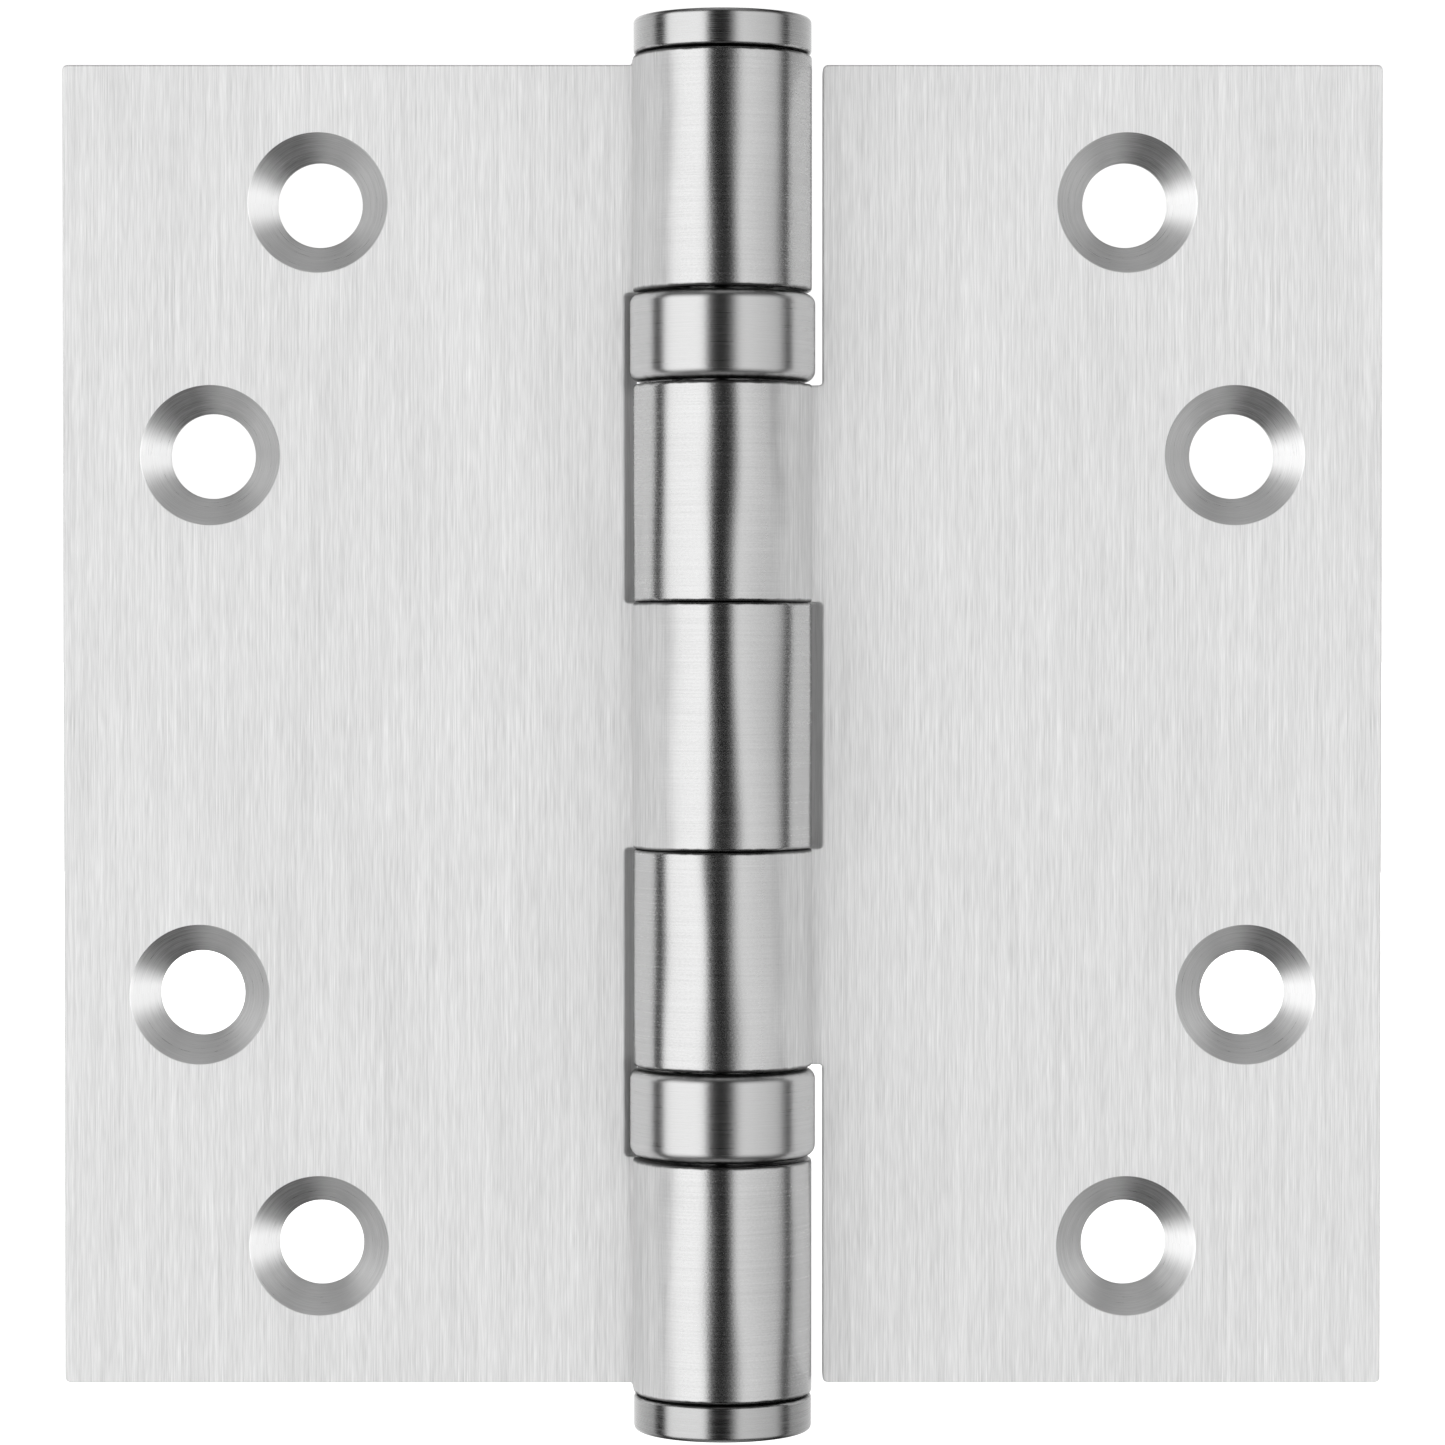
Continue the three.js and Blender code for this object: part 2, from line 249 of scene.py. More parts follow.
def blank_outline(notch, spans):
    """Points round the blank's edge, each with the direction inwards: (along, up, in_along, in_up)."""
    corners = [Vector(c[:2]) for c in blank_corners(notch, spans)]
    radii = [c[2] for c in blank_corners(notch, spans)]
    count = len(corners)
    rings = []
    for i, corner in enumerate(corners):
        back = (corners[i - 1] - corner).normalized()
        ahead = (corners[(i + 1) % count] - corner).normalized()
        half = back.angle(ahead) / 2
        reach = radii[i] / math.tan(half)
        middle = corner + (back + ahead).normalized() * radii[i] / math.sin(half)
        start, end = corner + back * reach, corner + ahead * reach
        convex = back.x * ahead.y - back.y * ahead.x < 0
        points = []
        for k in range(CORNER_STEPS + 1):
            share = k / CORNER_STEPS
            spread = math.pi - 2 * half
            a = (start - middle).normalized()
            b = (end - middle).normalized()
            mix = (a * math.sin((1 - share) * spread) + b * math.sin(share * spread)) / math.sin(spread)
            point = middle + mix * radii[i]
            inward = -mix if convex else mix
            points.append((point.x, point.y, inward.x, inward.y))
        rings.append(points)
    outline = []
    for i, points in enumerate(rings):
        outline += points
        a, b = points[-1], rings[(i + 1) % count][0]
        leftwards = b[0] < a[0]
        between = [s for s in STATIONS if min(a[0], b[0]) + 1e-4 < s < max(a[0], b[0]) - 1e-4]
        for s in between if leftwards else reversed(between):
            share = (s - a[0]) / (b[0] - a[0])
            outline.append((s, a[1] + share * (b[1] - a[1]), a[2], a[3]))
    return outline


def edge_levels():
    """(inset, depth, from_back) of each ring round the sheet's edge, from front to back. Inset and
    depth are shares of the edge's rounding."""
    angles = [math.pi / 2 * k / EDGE_STEPS for k in range(EDGE_STEPS + 1)]
    front = [(1 - math.sin(a), 1 - math.cos(a), False) for a in angles]
    return front + [(inset, depth, True) for inset, depth, _ in reversed(front)]


def wobble(along, up):
    """The small unevenness of a sheared and rolled edge."""
    return WOBBLE_LONG * math.sin(along * 1.7 + up) + WOBBLE_SHORT * math.sin(along * 4.3 + up * 2.1)


def edge_round(along, from_back):
    """How much an edge is rounded: more round the outside of a knuckle, less at its seam."""
    if not from_back:
        return EDGE_ROUND
    on_barrel = smooth((CURL_AT - along) / BARREL_BLEND)
    off_seam = smooth((along - SHEET_END) / SEAM_BLEND)
    return EDGE_ROUND + (BARREL_EDGE_ROUND - EDGE_ROUND) * on_barrel * off_seam


def hole_profile():
    """(radius, depth) down a screw hole's wall: a rounded rim, the countersink, a short land and the
    rim behind, without the rims' own first and last points."""
    sink_depth = (SINK_RADIUS - HOLE_RADIUS) / SINK_SLOPE
    cone_top, cone_foot = 0.06, sink_depth - 0.04
    foot_radius = HOLE_RADIUS + 0.05
    profile = [(SINK_RADIUS + 0.03, 0.015), (SINK_RADIUS - 0.02, cone_top)]
    for k in range(1, CONE_STEPS + 1):
        share = k / CONE_STEPS
        radius = SINK_RADIUS + (foot_radius - SINK_RADIUS) * share
        profile.append((radius, cone_top + (cone_foot - cone_top) * share))
    profile += [(HOLE_RADIUS, sink_depth + 0.04), (HOLE_RADIUS, LEAF_THICKNESS - BACK_RIM)]
    profile += [(HOLE_RADIUS + 0.035, LEAF_THICKNESS - 0.035)]
    return profile


def leaf_sheet(name, side, notch, spans, holes, materials):
    """A leaf: a flat blank with rounded edges and countersunk holes, rolled into its knuckles. side is
    -1 towards -X and 1 towards +X, and materials are the sheet's and the countersinks'."""
    outline = blank_outline(notch, spans)
    count = len(outline)
    # Whether each point is on the wall of a notch between two knuckles, which leans in
    inner_notch = [
        BEND_X + 0.1 < along < notch + 0.05 and abs(up) < spans[0][0] + 0.5 for along, up, _, _ in outline
    ]
    bm = bmesh.new()
    uv = bm.loops.layers.uv.new(UV_NAME)
    where = {}

    def vertex(along, up, depth):
        x, y = rolled(along, depth)
        v = bm.verts.new((side * x, y, up))
        where[v] = (along, up)
        return v

    def ring_point(i, inset, depth, from_back):
        along, up, in_along, in_up = outline[i]
        radius = edge_round(along, from_back)
        down = LEAF_THICKNESS - depth * radius if from_back else depth * radius
        if inner_notch[i]:
            along = BEND_X + (along - BEND_X) * (1 - NOTCH_LEAN * down / LEAF_THICKNESS)
        on_knuckle = smooth((BEND_X - along) / 2)
        worn = radius + abs(wobble(along, up)) * on_knuckle
        return along + in_along * inset * radius, up + in_up * inset * worn, down

    levels = edge_levels()
    flat = [[ring_point(i, *level) for i in range(count)] for level in levels]
    rings = [[vertex(*point) for point in level] for level in flat]

    def face(verts):
        for loop in bm.faces.new(verts).loops:
            along, up = where[loop.vert]
            loop[uv].uv = (along * UV_PER_MM, up * UV_PER_MM)

    for upper, lower in zip(rings, rings[1:]):
        for i in range(count):
            j = (i + 1) % count
            face((upper[i], upper[j], lower[j], lower[i]))

    # The knuckles' own strips of the sheet, from the bend to the seam
    on_root = [i for i, point in enumerate(outline) if abs(point[0] - BEND_X) < 1e-6]
    roots = list(zip(on_root[::2], on_root[1::2]))
    for ring in (rings[0], rings[-1]):
        for start, end in roots:
            for k in range((end - start) // 2):
                face((ring[start + k], ring[start + k + 1], ring[end - k - 1], ring[end - k]))

    # The flat, with its holes
    hidden = {i for start, end in roots for i in range(start + 1, end)}
    kept = [i for i in range(count) if i not in hidden]
    for ring, points, radius_at in (
        (rings[0], flat[0], SINK_RADIUS + FRONT_RIM),
        (rings[-1], flat[-1], HOLE_RADIUS + BACK_RIM),
    ):
        front = ring is rings[0]
        verts = [ring[i] for i in kept]
        flat_points = [Vector((points[i][0], points[i][1])) for i in kept]
        edges = [(k, (k + 1) % len(kept)) for k in range(len(kept))]
        owner = [0] * len(kept)
        for number, (across, up) in enumerate(holes, 1):
            first = len(verts)
            owner += [number] * HOLE_FACETS
            for k in range(HOLE_FACETS):
                turn = 2 * math.pi * k / HOLE_FACETS
                a, u = across + radius_at * math.cos(turn), up + radius_at * math.sin(turn)
                flat_points.append(Vector((a, u)))
                verts.append(vertex(a, u, 0 if front else LEAF_THICKNESS))
                edges.append((first + k, first + (k + 1) % HOLE_FACETS))
        for triangle in filled(flat_points, edges, owner):
            face([verts[t] for t in triangle])
        if front:
            front_rims = verts[len(kept):]
        else:
            back_rims = verts[len(kept):]

    # Each hole's own wall, joined to the rims just made
    profile = hole_profile()
    arc = 2 * math.pi / HOLE_FACETS * SINK_RADIUS
    for h, (across, up) in enumerate(holes):
        walked = 0.0
        last = (SINK_RADIUS + FRONT_RIM, 0.0)
        rows = [front_rims[h * HOLE_FACETS:(h + 1) * HOLE_FACETS]]
        lengths = [0.0]
        for radius, depth in profile:
            walked += math.hypot(radius - last[0], depth - last[1])
            last = (radius, depth)
            row = []
            for k in range(HOLE_FACETS):
                turn = 2 * math.pi * k / HOLE_FACETS
                row.append(vertex(across + radius * math.cos(turn), up + radius * math.sin(turn), depth))
            rows.append(row)
            lengths.append(walked)
        rows.append(back_rims[h * HOLE_FACETS:(h + 1) * HOLE_FACETS])
        lengths.append(walked + 0.1)
        for r in range(len(rows) - 1):
            for k in range(HOLE_FACETS):
                j = (k + 1) % HOLE_FACETS
                made = bm.faces.new((rows[r][k], rows[r][j], rows[r + 1][j], rows[r + 1][k]))
                made.material_index = 1
                around = (k * arc, (k + 1) * arc, (k + 1) * arc, k * arc)
                down = (lengths[r], lengths[r], lengths[r + 1], lengths[r + 1])
                for loop, a, d in zip(made.loops, around, down):
                    loop[uv].uv = (a * UV_PER_MM, (d + h * SINK_UV_STEP) * UV_PER_MM)
    return finish_mesh(name, bm, materials)


# ---------------------------------------------------------------- turned pieces


def fillet(x, z, radius, start, end, steps=6):
    """Points on an arc of a turned profile, angles in degrees."""
    angles = [math.radians(start + (end - start) * k / steps) for k in range(steps + 1)]
    return [(x + radius * math.cos(a), z + radius * math.sin(a)) for a in angles]


def turned(name, profile, materials, facets=TURN_FACETS, lift=0.0, flip=False):
    """A profile of (radius, height) turned round the pin's axis. It closes on itself, or starts and
    ends on the axis. lift moves it up, and flip turns it upside down first."""
    bm = bmesh.new()
    uv = bm.loops.layers.uv.new(UV_NAME)
    closed = profile[0][0] > 1e-6
    if flip:
        profile = [(r, -z) for r, z in reversed(profile)]
    rows = []
    walked = [0.0]
    for k, (radius, z) in enumerate(profile):
        if k:
            walked.append(walked[-1] + math.dist(profile[k - 1], (radius, z)))
        if radius < 1e-6:
            rows.append([bm.verts.new((0, 0, z + lift))] * facets)
            continue
        ring = []
        for i in range(facets):
            turn = 2 * math.pi * i / facets + math.pi / 2
            ring.append(bm.verts.new((radius * math.cos(turn), radius * math.sin(turn), z + lift)))
        rows.append(ring)
    if closed:
        walked.append(walked[-1] + math.dist(profile[-1], profile[0]))
        rows.append(rows[0])
    arc = 2 * math.pi / facets * max(r for r, _ in profile)
    for r in range(len(rows) - 1):
        for i in range(facets):
            j = (i + 1) % facets
            here, above = rows[r], rows[r + 1]
            corners = [(here[i], i, r), (here[j], i + 1, r), (above[j], i + 1, r + 1), (above[i], i, r + 1)]
            distinct = []
            for corner in corners:
                if corner[0] not in [d[0] for d in distinct]:
                    distinct.append(corner)
            made = bm.faces.new([d[0] for d in distinct])
            for loop, (_, around, row) in zip(made.loops, distinct):
                loop[uv].uv = (around * arc * UV_PER_MM, walked[row] * UV_PER_MM)
    return finish_mesh(name, bm, materials)


def pin_profile():
    """A rod with a blunt point, and its button head."""
    foot = pin_box[0].z / MM
    radius = BORE_RADIUS - PIN_CLEARANCE
    head_low, head_high = BARREL_END + TIP_GAP, pin_box[1].z / MM
    point_in, point_round, point_height = 1.3, 0.9, 1.1
    neck = 0.3
    return (
        [(0, foot), (radius - point_in, foot)]
        + fillet(radius - point_round, foot + point_height, point_round, -40, 0)
        + [(radius, head_low - neck), (radius + neck, head_low)]
        + fillet(TIP_RADIUS - TIP_ROUND, head_low + TIP_ROUND, TIP_ROUND, -90, 0)
        + fillet(TIP_RADIUS - TIP_CROWN, head_high - TIP_CROWN, TIP_CROWN, 0, 90)
        + [(0, head_high)]
    )


def plug_profile():
    """The lower tip with its stem, and the hole for a punch right through it."""
    top, low = plug_box[1].z / MM, plug_box[0].z / MM
    flange = -BARREL_END - TIP_GAP
    stem, stem_round = BORE_RADIUS - STEM_CLEARANCE, 0.5
    hole, hole_round = PUNCH_HOLE_RADIUS, 0.3
    return (
        fillet(hole + hole_round, low + hole_round, hole_round, 180, 270)
        + fillet(TIP_RADIUS - TIP_CROWN, low + TIP_CROWN, TIP_CROWN, -90, 0)
        + fillet(TIP_RADIUS - TIP_ROUND, flange - TIP_ROUND, TIP_ROUND, 0, 90)
        + [(stem, flange)]
        + fillet(stem - stem_round, top - stem_round, stem_round, 0, 90)
        + fillet(hole + hole_round, top - hole_round, hole_round, 90, 180)
    )


def shell_profile():
    """A ring of thin steel with its two edges spun in over the races."""
    half, wall, mouth, lip = BEARING_HALF, SHELL_WALL, SHELL_MOUTH, LIP_CHAMFER
    round_top, round_low, inner = 0.9, 1.0, 0.2
    return (
        [(mouth, -half + lip), (mouth + lip, -half)]
        + fillet(SHELL_RADIUS - round_low, -half + round_low, round_low, -90, 0, 8)
        + fillet(SHELL_RADIUS - round_top, half - round_top, round_top, 0, 90, 8)
        + [(mouth + lip, half), (mouth, half - lip), (mouth, half - wall)]
        + fillet(SHELL_RADIUS - wall - inner, half - wall - inner, inner, 90, 0, 4)
        + fillet(SHELL_RADIUS - wall - inner, -half + wall + inner, inner, 0, -90, 4)
        + [(mouth, -half + wall)]
    )


def race_profile():
    """A grooved washer, groove downwards, centred on the balls."""
    top, face, groove = BEARING_HALF, 0.62, BALL_RADIUS * 1.06
    shoulder, boss = top - 0.65, 6.55
    bore_top, bore_foot, rim, boss_round = 0.25, 0.12, 0.15, 0.1
    edge = math.degrees(math.asin(face / groove))
    return (
        fillet(BORE_IN_RACE + bore_top, top - bore_top, bore_top, 90, 180, 4)
        + fillet(BORE_IN_RACE + bore_foot, face + bore_foot, bore_foot, 180, 270, 3)
        + fillet(BALL_CIRCLE, 0, groove, 180 - edge, edge, 16)
        + fillet(RACE_RADIUS - rim, face + rim, rim, -90, 0, 3)
        + fillet(RACE_RADIUS - rim, shoulder - rim, rim, 0, 90, 3)
        + [(boss + boss_round, shoulder), (boss, shoulder + boss_round)]
        + fillet(boss - boss_round, top - boss_round, boss_round, 0, 90, 3)
    )


def ball(name, centre, materials):
    """A ball, divided evenly all over."""
    bm = bmesh.new()
    bmesh.ops.create_icosphere(bm, subdivisions=BALL_DIVISIONS, radius=BALL_RADIUS)
    uv = bm.loops.layers.uv.new(UV_NAME)
    for face in bm.faces:
        for loop in face.loops:
            loop[uv].uv = (loop.vert.co.x * UV_PER_MM, loop.vert.co.z * UV_PER_MM)
    bmesh.ops.translate(bm, vec=centre / MM, verts=bm.verts)
    return finish_mesh(name, bm, materials)


def cage(name, height, materials):
    """A flat ring with a round pocket for each ball."""
    bm = bmesh.new()
    uv = bm.loops.layers.uv.new(UV_NAME)
    pocket, inner, chamfer = 1.1, 4.45, 0.08
    circles = [(0, 0, CAGE_RADIUS, TURN_FACETS, -1), (0, 0, inner, CAGE_INNER_FACETS, 1)]
    for k in range(BALL_COUNT):
        turn = 2 * math.pi * k / BALL_COUNT
        x, y = BALL_CIRCLE * math.cos(turn), BALL_CIRCLE * math.sin(turn)
        circles.append((x, y, pocket, POCKET_FACETS, 1))
    wall = CAGE_HALF - chamfer
    levels = [(chamfer, CAGE_HALF), (0, wall), (0, -wall), (chamfer, -CAGE_HALF)]
    rims = []
    for x, y, radius, facets, outward in circles:
        rows = []
        for grow, z in levels:
            r = radius + outward * grow
            row = []
            for i in range(facets):
                turn = 2 * math.pi * i / facets
                row.append(bm.verts.new((x + r * math.cos(turn), y + r * math.sin(turn), height + z)))
            rows.append(row)
        for upper, lower in zip(rows, rows[1:]):
            for i in range(facets):
                j = (i + 1) % facets
                bm.faces.new((upper[i], upper[j], lower[j], lower[i]))
        rims.append((rows[0], rows[-1]))
    for side in (0, 1):
        verts = [v for rim in rims for v in rim[side]]
        edges = []
        for rim in rims:
            first = len(edges)
            size = len(rim[side])
            edges += [(first + i, first + (i + 1) % size) for i in range(size)]
        points = [Vector((v.co.x, v.co.y)) for v in verts]
        owner = [number for number, rim in enumerate(rims) for _ in rim[side]]
        for triangle in filled(points, edges, owner):
            bm.faces.new([verts[t] for t in triangle])
    for face in bm.faces:
        for loop in face.loops:
            loop[uv].uv = (loop.vert.co.x * UV_PER_MM, loop.vert.co.y * UV_PER_MM)
    return finish_mesh(name, bm, materials)


# ---------------------------------------------------------------- materials


# The joints' heights, above and below the middle
JOINT_HEIGHTS = (
    BARREL_END,
    BEARING_MIDDLE + BEARING_SPACE / 2,
    BEARING_MIDDLE - BEARING_SPACE / 2,
    (INNER_START + CENTRE_HALF) / 2,
)
SHADE_FULL = 0.1  # how far from a joint the dark shading is at its full depth
SHADE_DEPTH = 0.75  # how much of the colour it takes away
SHADE_UNEVEN = 0.7
LEAF_SHADE_REACH = 0.35
FAR_AWAY = 100.0

# How light the metal is, how rough, and how metallic
# The knuckles' flanks outside the ground band are darkened as painted shade
FLAT_COLOUR, FLANK_SHADE_COLOUR, GROUND_COLOUR = 0.74, 0.64, 0.66
FLAT_ROUGHNESS, GROUND_ROUGHNESS = 0.55, 0.26
FLAT_METAL = 0.45
FLAT_CONTRAST, GROUND_CONTRAST = 0.62, 0.4
LINE_ROUGHNESS = 0.16
PATCH_CONTRAST = 0.05
BUMP_MM, WAVE_MM = 0.006, 0.65
LEAF_ANISOTROPY, LATHE_ANISOTROPY, SINK_ANISOTROPY = 0.5, 0.75, 0.6
QUARTER_TURN = 0.25  # turns the brushing from the surface's length to its height
RING_SHARE, SHORT_SHARE = 0.6, 0.4  # long and short lines left by the lathe
SPECK_SHARE = 1.5

# Where along the sheet the knuckle's ground finish begins and ends
GROUND_FROM, GROUND_FULL = 2.6, 6.6
SEAM_FLANK = SHEET_END + 0.94 * MIDDLE_RADIUS
SEAM_FADE_START, SEAM_FADE_END = 1.5, 2.0
GROUND_UNEVEN = 1.4

# The countersinks: the colour, and how much its painted highlight and painted shade change it in sectors,
# by degrees from the outer side
SINK_COLOUR, SINK_ROUGHNESS, SINK_METAL = 0.58, 0.34, 0.6
SINK_LIGHT_BELOW, SINK_GLINT, SINK_SHADE, SINK_INNER_SHADE = 0.14, 0.4, 0.26, 0.11
GLINT_FULL, GLINT_END = 6.0, 34.0
SHADE_MIDDLE, SHADE_CORE, SHADE_EDGE = 62.0, 8.0, 46.0
INNER_SHADE_FROM_DEGREES = 125.0
# The painted highlight also takes away metal, which makes it whiter
GLINT_METAL_LOSS = 0.4
SINK_CONTRAST = 0.45
SINK_BUMP_MM = 0.002


class Recipe:
    """A short way to write a material's nodes. Each value is a number or another node's output."""

    def __init__(self, name):
        self.material = bpy.data.materials.new(name)
        self.material.use_nodes = True
        self.tree = self.material.node_tree
        self.shader = self.tree.nodes["Principled BSDF"]
        place = self.node("ShaderNodeUVMap")
        place.uv_map = UV_NAME
        self.surface = place.outputs["UV"]

    def node(self, kind, **settings):
        made = self.tree.nodes.new(kind)
        for key, value in settings.items():
            setattr(made, key, value)
        return made

    def link(self, value, socket):
        if hasattr(value, "is_linked"):
            self.tree.links.new(value, socket)
        else:
            socket.default_value = value

    def noise(self, across, along, detail=3.0, roughness=0.55, seed=0.0):
        """Noise whose grains are about across by along millimetres, on the rolled-out surface."""
        mapping = self.node("ShaderNodeMapping")
        self.link(self.surface, mapping.inputs["Vector"])
        mapping.inputs["Scale"].default_value = (1 / across / UV_PER_MM, 1 / along / UV_PER_MM, 1)
        mapping.inputs["Location"].default_value = (seed, seed * 1.7, seed * 0.6)
        made = self.node("ShaderNodeTexNoise")
        self.link(mapping.outputs["Vector"], made.inputs["Vector"])
        made.inputs["Scale"].default_value = 1.0
        made.inputs["Detail"].default_value = detail
        made.inputs["Roughness"].default_value = roughness
        return made.outputs["Fac"]

    def math(self, operation, a, b=0.0, c=0.0):
        made = self.node("ShaderNodeMath", operation=operation)
        for value, socket in zip((a, b, c), made.inputs):
            self.link(value, socket)
        return made.outputs["Value"]

    def ramp(self, value, low, high, to_low, to_high):
        """to_low up to low, to_high from high on, and a smooth change between them."""
        made = self.node("ShaderNodeMapRange", interpolation_type="SMOOTHSTEP")
        for socket, v in zip(made.inputs, (value, low, high, to_low, to_high)):
            self.link(v, socket)
        return made.outputs["Result"]

    def mix(self, factor, a, b):
        """a where factor is 0 and b where it is 1."""
        rest = self.math("SUBTRACT", 1.0, factor)
        return self.math("ADD", self.math("MULTIPLY", a, rest), self.math("MULTIPLY", b, factor))

    def grey(self, value, warmth=0.0):
        """A grey, or a little yellower than grey."""
        made = self.node("ShaderNodeCombineColor")
        self.link(self.math("MULTIPLY", value, 1.0 + warmth), made.inputs[0])
        self.link(value, made.inputs[1])
        self.link(self.math("MULTIPLY", value, 1.0 - warmth), made.inputs[2])
        return made.outputs[0]

    def bump(self, height, depth_mm):
        made = self.node("ShaderNodeBump")
        made.inputs["Strength"].default_value = 1.0
        made.inputs["Distance"].default_value = depth_mm * MM
        self.link(height, made.inputs["Height"])
        self.link(made.outputs["Normal"], self.shader.inputs["Normal"])

    def joint_shade(self, reach):
        """1 beside the joints on the barrel's outside, where shade between the parts is painted into the
        colour, and 0 past its reach and on the pin's rod."""
        place = self.node("ShaderNodeTexCoord").outputs["Object"]
        split = self.node("ShaderNodeSeparateXYZ")
        self.link(place, split.inputs[0])
        across = self.math("MULTIPLY", split.outputs["X"], split.outputs["X"])
        squared = self.math("MULTIPLY_ADD", split.outputs["Y"], split.outputs["Y"], across)
        radius = self.math("DIVIDE", self.math("SQRT", squared), MM)
        outside = self.ramp(radius, BARREL_RADIUS - 2.0, BARREL_RADIUS - 1.0, 0.0, 1.0)
        height = self.math("DIVIDE", self.math("ABSOLUTE", split.outputs["Z"]), MM)
        nearest = FAR_AWAY
        for joint in JOINT_HEIGHTS:
            away = self.math("ABSOLUTE", self.math("SUBTRACT", height, joint))
            nearest = self.math("MINIMUM", nearest, away)
        ragged = self.noise(0.8, 3.0, detail=3.0, seed=41.0)
        uneven = self.math("MULTIPLY", self.math("SUBTRACT", ragged, 0.5), SHADE_UNEVEN * reach)
        beside = self.ramp(self.math("ADD", nearest, uneven), SHADE_FULL, reach, 1.0, 0.0)
        return self.math("MULTIPLY", beside, outside)

    def shaded(self, value, shade):
        """A colour darkened by a shade from 0 to 1."""
        kept = self.math("SUBTRACT", 1.0, self.math("MULTIPLY", shade, SHADE_DEPTH))
        return self.math("MULTIPLY", value, kept)

    def tangent(self):
        """Lays the metal's brushing along the rolled-out surface."""
        made = self.node("ShaderNodeTangent", direction_type="UV_MAP", uv_map=UV_NAME)
        self.link(made.outputs["Tangent"], self.shader.inputs["Tangent"])


def satin_leaf():
    """Stainless sheet, brushed up and down on the flat, and ground round its knuckles."""
    m = Recipe("satin_stainless")
    split = m.node("ShaderNodeSeparateXYZ")
    m.link(m.surface, split.inputs[0])
    along = m.math("DIVIDE", split.outputs["X"], UV_PER_MM)
    grain = m.noise(1.5, 3.0, seed=9.0)
    place = m.math("ADD", along, m.math("MULTIPLY", m.math("SUBTRACT", grain, 0.5), GROUND_UNEVEN))
    off_bend = m.ramp(place, CURL_AT - GROUND_FULL, CURL_AT - GROUND_FROM, 1.0, 0.0)
    off_seam = m.ramp(place, SEAM_FLANK - SEAM_FADE_START, SEAM_FLANK + SEAM_FADE_END, 0.0, 1.0)
    ground = m.math("MULTIPLY", off_bend, off_seam)

    strokes = m.noise(0.12, 14.0, detail=1.0, seed=1.0)
    fine = m.noise(0.06, 2.5, detail=1.0, seed=2.0)
    broad = m.noise(14.0, 40.0, detail=2.0, seed=3.0)
    rings = m.noise(7.0, 0.12, detail=4.0, seed=4.0)
    speck = m.noise(0.2, 0.16, detail=3.0, roughness=0.65, seed=5.0)

    brushed = m.math("ADD", m.math("MULTIPLY", strokes, 0.45), m.math("MULTIPLY", fine, 0.55))
    scoured = m.math("ADD", m.math("MULTIPLY", rings, 0.5), m.math("MULTIPLY", speck, 0.5))
    lines = m.math("SUBTRACT", m.mix(ground, brushed, scoured), 0.5)
    patches = m.math("MULTIPLY", m.math("SUBTRACT", broad, 0.5), PATCH_CONTRAST)
    rough = m.mix(ground, FLAT_ROUGHNESS, GROUND_ROUGHNESS)
    rough = m.math("ADD", rough, m.math("MULTIPLY", lines, LINE_ROUGHNESS))
    m.link(m.math("ADD", rough, patches), m.shader.inputs["Roughness"])

    contrast = m.mix(ground, FLAT_CONTRAST, GROUND_CONTRAST)
    # Painted shade: the knuckle outside its ground band is darker than the flat
    flank = m.ramp(along, CURL_AT - 1.0, BEND_X + 0.5, FLANK_SHADE_COLOUR, FLAT_COLOUR)
    colour = m.math("ADD", m.mix(ground, flank, GROUND_COLOUR), m.math("MULTIPLY", lines, contrast))
    curled = m.ramp(along, BEND_X - 1.5, BEND_X, 1.0, 0.0)
    # Painted shade beside the joints, on the knuckles only
    shade = m.math("MULTIPLY", m.joint_shade(LEAF_SHADE_REACH), curled)
    m.link(m.grey(m.shaded(m.math("ADD", colour, patches), shade)), m.shader.inputs["Base Color"])

    # The waves run on over the edge of the ground part, so they are added outside its mix
    waves = m.math("MULTIPLY", m.noise(5.0, 14.0, detail=0.0, seed=6.0), WAVE_MM / BUMP_MM)
    lathed = m.math("ADD", m.math("MULTIPLY", rings, 0.15), speck)
    m.bump(m.math("ADD", m.mix(ground, brushed, lathed), waves), BUMP_MM)
    m.tangent()
    m.link(m.mix(ground, FLAT_METAL, 1.0), m.shader.inputs["Metallic"])
    m.shader.inputs["Anisotropic"].default_value = LEAF_ANISOTROPY
    m.link(m.math("MULTIPLY", ground, QUARTER_TURN), m.shader.inputs["Anisotropic Rotation"])
    return m.material


def turned_steel(name, colour, rough, line_mm, depth_mm, contrast=0.12, shade_reach=0.4):
    """Steel with fine rings left by the lathe, line_mm wide and depth_mm deep."""
    m = Recipe(name)
    rings = m.noise(25.0, line_mm, detail=4.0, seed=11.0)
    short = m.noise(3.0, line_mm * 0.7, detail=3.0, seed=12.0)
    speck = m.noise(0.3, 0.14, detail=3.0, roughness=0.65, seed=13.0)
    lines = m.math("ADD", m.math("MULTIPLY", rings, RING_SHARE), m.math("MULTIPLY", short, SHORT_SHARE))
    change = m.math("MULTIPLY", m.math("SUBTRACT", lines, 0.5), contrast)
    m.link(m.math("ADD", rough, change), m.shader.inputs["Roughness"])
    # Painted shade beside the joints darkens the colour
    shaded = m.shaded(m.math("ADD", colour, change), m.joint_shade(shade_reach))
    m.link(m.grey(shaded), m.shader.inputs["Base Color"])
    m.bump(m.math("ADD", lines, m.math("MULTIPLY", speck, SPECK_SHARE)), depth_mm)
    m.tangent()
    m.shader.inputs["Metallic"].default_value = 1.0
    m.shader.inputs["Anisotropic"].default_value = LATHE_ANISOTROPY
    m.shader.inputs["Anisotropic Rotation"].default_value = QUARTER_TURN
    return m.material


